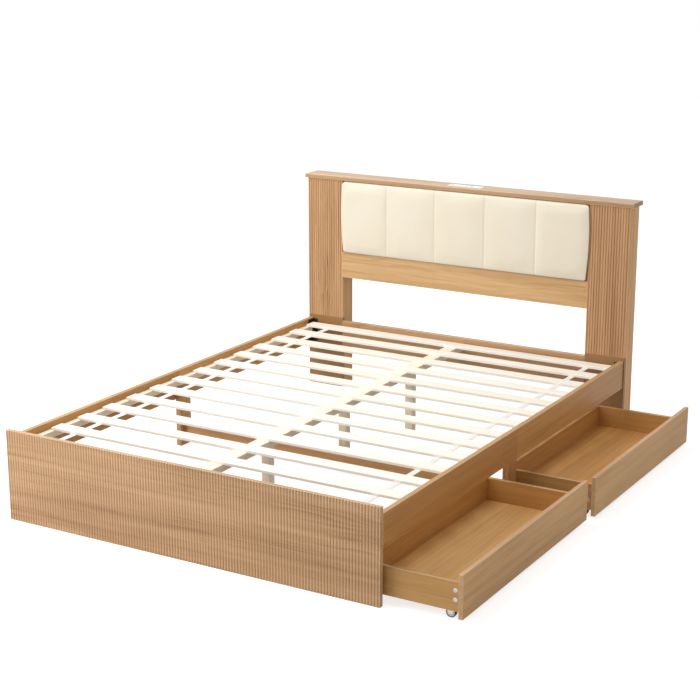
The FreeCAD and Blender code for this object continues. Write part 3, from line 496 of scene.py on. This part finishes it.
def set_on_points_tree():
    """Sets one piece on each point, its own Z turned to the point's direction."""
    tree = bpy.data.node_groups.new("set_on_points", "GeometryNodeTree")
    sockets = (
        ("Points", "NodeSocketGeometry"), ("Piece", "NodeSocketObject"),
        ("Size", "NodeSocketFloat"), ("Finish", "NodeSocketMaterial"),
    )
    for name, kind in sockets:
        tree.interface.new_socket(name, in_out="INPUT", socket_type=kind)
    tree.interface.new_socket("Set", in_out="OUTPUT", socket_type="NodeSocketGeometry")
    given = tree.nodes.new("NodeGroupInput").outputs
    out = tree.nodes.new("NodeGroupOutput").inputs
    facing = add(
        tree, "GeometryNodeInputNamedAttribute", {"Name": "facing"}, data_type="FLOAT_VECTOR"
    )
    turn = add(tree, "FunctionNodeAlignRotationToVector", {"Vector": facing.outputs[0]}, axis="Z")
    piece = add(tree, "GeometryNodeObjectInfo", {"Object": given["Piece"]})
    copies = add(tree, "GeometryNodeInstanceOnPoints", {
        "Points": given["Points"],
        "Instance": piece.outputs["Geometry"],
        "Rotation": turn.outputs[0],
        "Scale": given["Size"],
    })
    real = add(tree, "GeometryNodeRealizeInstances", {0: copies.outputs[0]})
    inputs = {0: real.outputs[0], "Material": given["Finish"]}
    dressed = add(tree, "GeometryNodeSetMaterial", inputs)
    tree.links.new(dressed.outputs[0], out["Set"])
    return tree


set_on_points = set_on_points_tree()


def bake(piece):
    """Turns a piece and its modifiers into a plain mesh."""
    bpy.context.view_layer.update()
    graph = bpy.context.evaluated_depsgraph_get()
    mesh = bpy.data.meshes.new_from_object(piece.evaluated_get(graph))
    piece.modifiers.clear()
    piece.data = mesh


def run_tree(holder, tree, **values):
    """Runs a geometry tree on an object and keeps the result as its mesh."""
    bpy.context.scene.collection.objects.link(holder)
    modifier = holder.modifiers.new("rule", "NODES")
    modifier.node_group = tree
    for item in tree.interface.items_tree:
        if item.in_out == "INPUT" and item.name in values:
            modifier[item.identifier] = values[item.name]
    bake(holder)


def fixings(name, piece, coat, spots, body, slot, *replaced):
    """Copies of a small fixing on spots of place and facing, riding on one body."""
    holder = bpy.data.objects.new(name, bpy.data.meshes.new(name))
    holder.data.from_pydata([place for place, facing in spots], [], [])
    facings = holder.data.attributes.new("facing", "FLOAT_VECTOR", "POINT")
    facings.data.foreach_set("vector", [part for place, facing in spots for part in facing])
    run_tree(holder, set_on_points, Piece=piece, Size=1.0, Finish=coat)
    for face in holder.data.polygons:
        face.use_smooth = False
    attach(holder, body)
    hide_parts(*replaced)


BOLT_REACH, BOLT_RISE = 0.0065, 0.004


def bolt_shape():
    """A hexagon head standing on Z = 0, bevelled towards its crown."""
    bevel, sides = 0.0009, 6
    shoulder = (BOLT_REACH, BOLT_RISE - bevel)
    profile = ((BOLT_REACH, 0), shoulder, (BOLT_REACH - bevel, BOLT_RISE))

    def build(sketch):
        sketch.faces.new(turned_shape(sketch, profile, sides))

    return plain_mesh("bolt_head", build)


def bolt_spots():
    """Seats of the bolt heads on the brackets, and on the mid legs."""
    plate, rail_reach, end_reach = 0.003, 0.027, 0.0115
    bracket_rows, leg_rows = (0.028, 0.072), (0.022, 0.048)
    low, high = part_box("corner_brackets")
    bracket, leg = [], []
    for side in (-1, 1):
        for face, inward in ((low.y, 1), (high.y, -1)):
            for row in bracket_rows:
                on_rail = (side * (high.x - plate), face + inward * rail_reach, low.z + row)
                on_end = (side * (high.x - end_reach), face + inward * plate, low.z + row)
                bracket += [(on_rail, (-side, 0, 0)), (on_end, (0, inward, 0))]
    low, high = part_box("mid_leg_bolts")
    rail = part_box("side_rail_right_foot")[0]
    for side in (-1, 1):
        for y in (low.y + BOLT_REACH, high.y - BOLT_REACH):
            for row in leg_rows:
                leg.append(((side * (high.x + BOLT_RISE), y, rail.z + row), (-side, 0, 0)))
    return bracket, leg


bracket_spots, leg_spots = bolt_spots()
bolt_head = bolt_shape()
fixings("bracket_bolt_set", bolt_head, zinc, bracket_spots, "frame", "zinc", "bracket_bolts")
fixings("mid_leg_bolt_set", bolt_head, zinc, leg_spots, "frame", "zinc", "mid_leg_bolts")

# Headboard pad: foam under cream faux leather, stretched over its board, swelling in five upright
# channels between sewn seams and pressed out over the columns. The cover is blown up as cloth.


def leather():
    material, tree, shader, place = finish("cream_faux_leather")
    cells = {"Vector": place, "Scale": 620.0}
    pebble = add(tree, "ShaderNodeTexVoronoi", cells, feature="SMOOTH_F1").outputs[0]
    cloud = clouds(tree, place, 7.0, 3.0)
    colour = mixed(tree, spread(tree, cloud, 0.3, 0.7), tint(230, 221, 202), tint(228, 218, 197))
    tree.links.new(colour, shader.inputs["Base Color"])
    tree.links.new(spread(tree, pebble, 0.1, 0.7, 0.5, 0.62), shader.inputs["Roughness"])
    bump(tree, shader, pebble, 0.00025)
    return material


SEAM_PLACES = (-0.339, -0.116, 0.110, 0.334)
cream = leather()


def near_seam(x):
    return min(abs(x - seam) for seam in SEAM_PLACES)


def blow_up(cover, held):
    """Pressure under the cover, without weight, for a number of steps."""
    steps = 20
    cloth = cover.modifiers.new("stuffing", "CLOTH")
    cloth.settings.use_pressure = True
    cloth.settings.uniform_pressure_force = 4.0
    cloth.settings.effector_weights.gravity = 0.0
    cloth.settings.vertex_group_mass = held.name
    cloth.settings.quality = 5
    scene = bpy.context.scene
    cloth.point_cache.frame_start = 1
    cloth.point_cache.frame_end = steps
    for step in range(1, steps + 1):
        scene.frame_set(step)
    bake(cover)
    scene.frame_set(1)


def swell(cover, low, high, column_face):
    """Lets the stuffing press the cover out over the columns and the rail below."""
    side_strip, foot_strip, full_depth = 0.05, 0.04, 0.005
    half_way, all_along, towards_top, droop = 0.011, 0.009, 0.003, 0.007
    middle, reach = (low + high) / 2, (high - low) / 2
    for vertex in cover.data.vertices:
        place = vertex.co
        level = (place.z - middle.z) / reach.z
        out = max(0.0, abs(place.x) - reach.x + side_strip) / side_strip
        down = max(0.0, low.z + foot_strip - place.z) / foot_strip
        proud = min(1.0, max(0.0, (column_face - place.y) / full_depth))
        bulge = half_way * max(0.0, 1 - level * level) + all_along + towards_top * level
        place.x += math.copysign(bulge * out * proud, place.x)
        place.z -= droop * down * proud


def sew(cover, back):
    """Draws the cover in along its seams, with slight puckers beside them."""
    near_board, full_depth = 0.004, 0.012
    seam_sink, seam_width = 0.0022, 0.0035
    pucker_rise, pucker_width, across, upward = 0.0006, 0.02, 60, 55
    for vertex in cover.data.vertices:
        place = vertex.co
        depth = back - place.y
        if depth < near_board:
            continue
        gap = near_seam(place.x)
        share = min(1.0, depth / full_depth)
        pucker = noise.noise(Vector((place.x * across, 0, place.z * upward))) * pucker_rise
        place.y += share * seam_sink * math.exp(-(gap / seam_width) ** 2)
        place.y += share * pucker * math.exp(-(gap / pucker_width) ** 2)


def padded_cover():
    """The stuffed cover: a thin slab, its back, sides and seams held, blown up and then sewn."""
    low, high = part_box("headboard_pad")
    back, column_face = high.y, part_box("headboard_lower_rail")[0].y
    slack, depth, lift, border = 0.001, 0.016, 0.0055, 0.06
    mesh_size, seam_hold, least_move = 0.006, 0.004, 1e-6
    size = Vector((high.x - low.x - 2 * slack, depth, high.z - low.z - 2 * slack))
    middle = Vector(((low.x + high.x) / 2, back - depth / 2, (low.z + high.z) / 2))

    def slab(sketch):
        shape = Matrix.Translation(middle) @ Matrix.Diagonal((*size, 1))
        bmesh.ops.create_cube(sketch, size=1, matrix=shape)

    cover = plain_mesh("pad_cover", slab)
    bpy.context.scene.collection.objects.link(cover)
    remesh = cover.modifiers.new("even_mesh", "REMESH")
    remesh.mode = "VOXEL"
    remesh.voxel_size = mesh_size
    bake(cover)
    start = [vertex.co.copy() for vertex in cover.data.vertices]
    held = cover.vertex_groups.new(name="held")
    proud = cover.vertex_groups.new(name="proud")
    for index, place in enumerate(start):
        if place.y > column_face or near_seam(place.x) < seam_hold:
            held.add([index], 1.0, "REPLACE")
        if place.y < column_face:
            proud.add([index], 1.0, "REPLACE")
    blow_up(cover, held)
    for vertex, place in zip(cover.data.vertices, start):
        from_side = size.x / 2 - abs(place.x - middle.x)
        from_end = size.z / 2 - abs(place.z - middle.z)
        inside = min(1.0, max(0.0, min(from_side, from_end) / border))
        move = (vertex.co - place) * inside * (2 - inside)
        vertex.co = place + move * min(1.0, lift / max(move.length, least_move))
    relaxed = cover.modifiers.new("relaxed", "SMOOTH")
    relaxed.factor = 0.5
    relaxed.iterations = 16
    relaxed.vertex_group = "proud"
    finer = cover.modifiers.new("finer", "SUBSURF")
    finer.levels = finer.render_levels = 1
    bake(cover)
    swell(cover, low, high, column_face)
    sew(cover, back)
    cover.vertex_groups.clear()
    cover.data.materials.clear()
    cover.data.materials.append(cream)
    for face in cover.data.polygons:
        face.use_smooth = True
    return cover


pad = padded_cover()
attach(pad, "frame")
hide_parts("headboard_pad")

# Power insert: a white moulded box let flush into the cap, with two sunk outlet faces and, between
# them, two sunk charging ports.


def moulded_white():
    material, tree, shader, place = finish("white_moulding")
    cloud = clouds(tree, place, 300.0, 2.0)
    colour = mixed(tree, cloud, tint(246, 246, 245), tint(238, 238, 236))
    tree.links.new(colour, shader.inputs["Base Color"])
    tree.links.new(spread(tree, cloud, 0.3, 0.7, 0.28, 0.36), shader.inputs["Roughness"])
    dress("power_insert", material)


moulded_white()

# Drawer boards: foiled fronts with the grain along the drawer, thinner sides, back and floor in a
# matter print of the same oak, held by cam locks and grooves.

FRONT_PRINT = ((221, 168, 91), (175, 120, 54))
FRONT_BAND = ((216, 174, 130), (172, 128, 86))
BOX_PRINT = ((205, 157, 92), (157, 111, 54))
FLOOR_PRINTS = {
    "foot": ((246, 198, 130), (192, 140, 78), 1902),
    "head": ((230, 175, 106), (174, 120, 60), 1783),
}
for end in ("foot", "head"):
    foil_board(f"{end}_drawer_front", "Y", *FRONT_PRINT, OAK_EDGE_HIGHLIGHT, figure=0.6, band=FRONT_BAND)
    for board, grain in (("back", "Y"), ("foot_side", "X"), ("head_side", "X")):
        foil_board(f"{end}_drawer_{board}", grain, *BOX_PRINT, OAK_EDGE_HIGHLIGHT, figure=0.4)
    pale, dark, plank = FLOOR_PRINTS[end]
    foil_board(f"{end}_drawer_floor", "Y", pale, dark, pale, figure=0.55, plank=plank)

# Cam locks: zinc discs with a cross slot, sunk in the outside of the drawer sides, two above each
# other behind the front.


CAM_RADIUS = 0.0075


def cam_shape():
    """A cam disc down from Z = 0, with a chamfered rim and a cross slot cut in it."""
    depth, chamfer, sides = 0.009, 0.0006, 32
    arm, half, sunk = 0.0046, 0.0009, 0.0016
    profile = ((CAM_RADIUS, -depth), (CAM_RADIUS, -chamfer), (CAM_RADIUS - chamfer, 0))

    def build(sketch):
        rim = turned_shape(sketch, profile, sides)
        outline = [
            (arm, half), (half, half), (half, arm), (-half, arm), (-half, half), (-arm, half),
            (-arm, -half), (-half, -half), (-half, -arm), (half, -arm), (half, -half), (arm, -half),
        ]
        mouth = [sketch.verts.new((x, y, 0)) for x, y in outline]
        floor = [sketch.verts.new((x, y, -sunk)) for x, y in outline]
        loop = [sketch.edges.new((a, b)) for a, b in zip(mouth, mouth[1:] + mouth[:1])]
        around = [edge for edge in sketch.edges if all(vertex in rim for vertex in edge.verts)]
        bmesh.ops.triangle_fill(sketch, edges=loop + around, use_beauty=True)
        inner = []
        for face in sketch.faces:
            centre = face.calc_center_median()
            in_slot = min(abs(centre.x), abs(centre.y)) < half
            if in_slot and all(vertex in mouth for vertex in face.verts):
                inner.append(face)
        bmesh.ops.delete(sketch, geom=inner, context="FACES_ONLY")
        for index in range(len(outline)):
            after = (index + 1) % len(outline)
            sketch.faces.new((mouth[index], mouth[after], floor[after], floor[index]))
        sketch.faces.new(floor)

    return plain_mesh("cam_lock", build)


cam = cam_shape()
for end in ("foot", "head"):
    low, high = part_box(f"{end}_drawer_cam_locks")
    spots = []
    for y, outward in ((low.y, -1), (high.y, 1)):
        for z in (low.z + CAM_RADIUS, high.z - CAM_RADIUS):
            spots.append(((high.x - CAM_RADIUS, y, z), (0, outward, 0)))
    drawer = f"{end}_drawer"
    fixings(f"{drawer}_cams", cam, zinc, spots, drawer, "zinc", f"{drawer}_cam_locks")

# Casters: pressed zinc forks and riveted axles under the drawer floors, and moulded wheels with a
# pale disc inside a black tread.


def caster_wheel(node):
    material, tree, shader, place = finish(f"{node}_moulding")
    low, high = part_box(node)
    centre = (low + high) / 2
    flat = stretched(tree, apart(tree, place, centre), (1, 0, 1))
    reach = add(tree, "ShaderNodeVectorMath", {0: flat}, operation="LENGTH").outputs["Value"]
    disc_reach, tread_reach = 0.0128, 0.0132
    tread = spread(tree, reach, disc_reach, tread_reach)
    scuff = clouds(tree, place, 350.0, 3.0)
    disc = mixed(tree, scuff, tint(214, 214, 212), tint(234, 234, 232))
    rubber = mixed(tree, scuff, tint(24, 24, 25), tint(48, 47, 46))
    tree.links.new(mixed(tree, tread, disc, rubber), shader.inputs["Base Color"])
    tree.links.new(spread(tree, tread, 0.0, 1.0, 0.35, 0.7), shader.inputs["Roughness"])
    bump(tree, shader, scuff, 0.0001)
    dress(node, material)


for end in ("foot", "head"):
    for number in range(1, 5):
        caster_wheel(f"{end}_drawer_wheel_{number}")
    for part in ("forks", "axles"):
        dress(f"{end}_drawer_caster_{part}", zinc)

# Studio: a white floor that keeps a soft shadow, a white surround, one large soft light over the
# left side of the bed and one to the left of its foot end.


def seen_directly(tree):
    """1 for the rays that show the stage itself, and 0 for those that only carry its light."""
    path = add(tree, "ShaderNodeLightPath").outputs
    seen = value_of(tree, "MAXIMUM", path["Is Camera Ray"], path["Is Glossy Ray"])
    return value_of(tree, "MAXIMUM", seen, path["Is Transmission Ray"])


def studio():
    floor_reach, floor_grey, floor_glow = 12, 0.6, 0.75
    surround, aim = 0.46, Vector((0, 0, 0.3))

    def paper(sketch):
        bmesh.ops.create_grid(sketch, size=floor_reach)

    floor = plain_mesh("studio_floor", paper)
    bpy.context.scene.collection.objects.link(floor)
    material, tree, shader, _ = finish("floor_paper")
    shader.inputs["Base Color"].default_value = (floor_grey, floor_grey, floor_grey, 1)
    shader.inputs["Roughness"].default_value = 1.0
    shader.inputs["Specular IOR Level"].default_value = 0.0
    glow = value_of(tree, "MULTIPLY", seen_directly(tree), floor_glow)
    shader.inputs["Emission Color"].default_value = (1, 1, 1, 1)
    tree.links.new(glow, shader.inputs["Emission Strength"])
    floor.data.materials.append(material)

    world = bpy.data.worlds.new("white_surround")
    world.use_nodes = True
    bpy.context.scene.world = world
    tree = world.node_tree
    strength = value_of(tree, "MULTIPLY_ADD", seen_directly(tree), 1 - surround, surround)
    background = tree.nodes["Background"]
    background.inputs["Color"].default_value = (1, 1, 1, 1)
    tree.links.new(strength, background.inputs["Strength"])

    lamps = (
        ("overhead_light", (-1.1, -0.9, 3.4), 2.4, 92.0),
        ("front_light", (-2.6, -3.4, 1.9), 2.2, 74.0),
    )
    for name, place, size, power in lamps:
        lamp = bpy.data.lights.new(name, "AREA")
        lamp.shape = "SQUARE"
        lamp.size = size
        lamp.energy = power
        holder = bpy.data.objects.new(name, lamp)
        holder.location = place
        holder.rotation_euler = (aim - Vector(place)).to_track_quat("-Z", "Y").to_euler()
        bpy.context.scene.collection.objects.link(holder)


def camera():
    """The photograph's view: from the right of the foot end, a little above, with a long lens."""
    place, tilt, turn = (2.9028, -4.8927, 2.0078), 74.7603, 30.4710
    lens = bpy.data.cameras.new("photograph_view")
    lens.lens = 83.69
    lens.sensor_width = 36.0
    lens.clip_end = 100.0
    holder = bpy.data.objects.new("photograph_view", lens)
    aim = Euler((math.radians(tilt), 0, math.radians(turn))).to_matrix().to_4x4()
    holder.matrix_world = Matrix.Translation(place) @ aim
    bpy.context.scene.collection.objects.link(holder)
    bpy.context.scene.camera = holder


studio()
camera()
bpy.context.scene.view_settings.view_transform = "Standard"
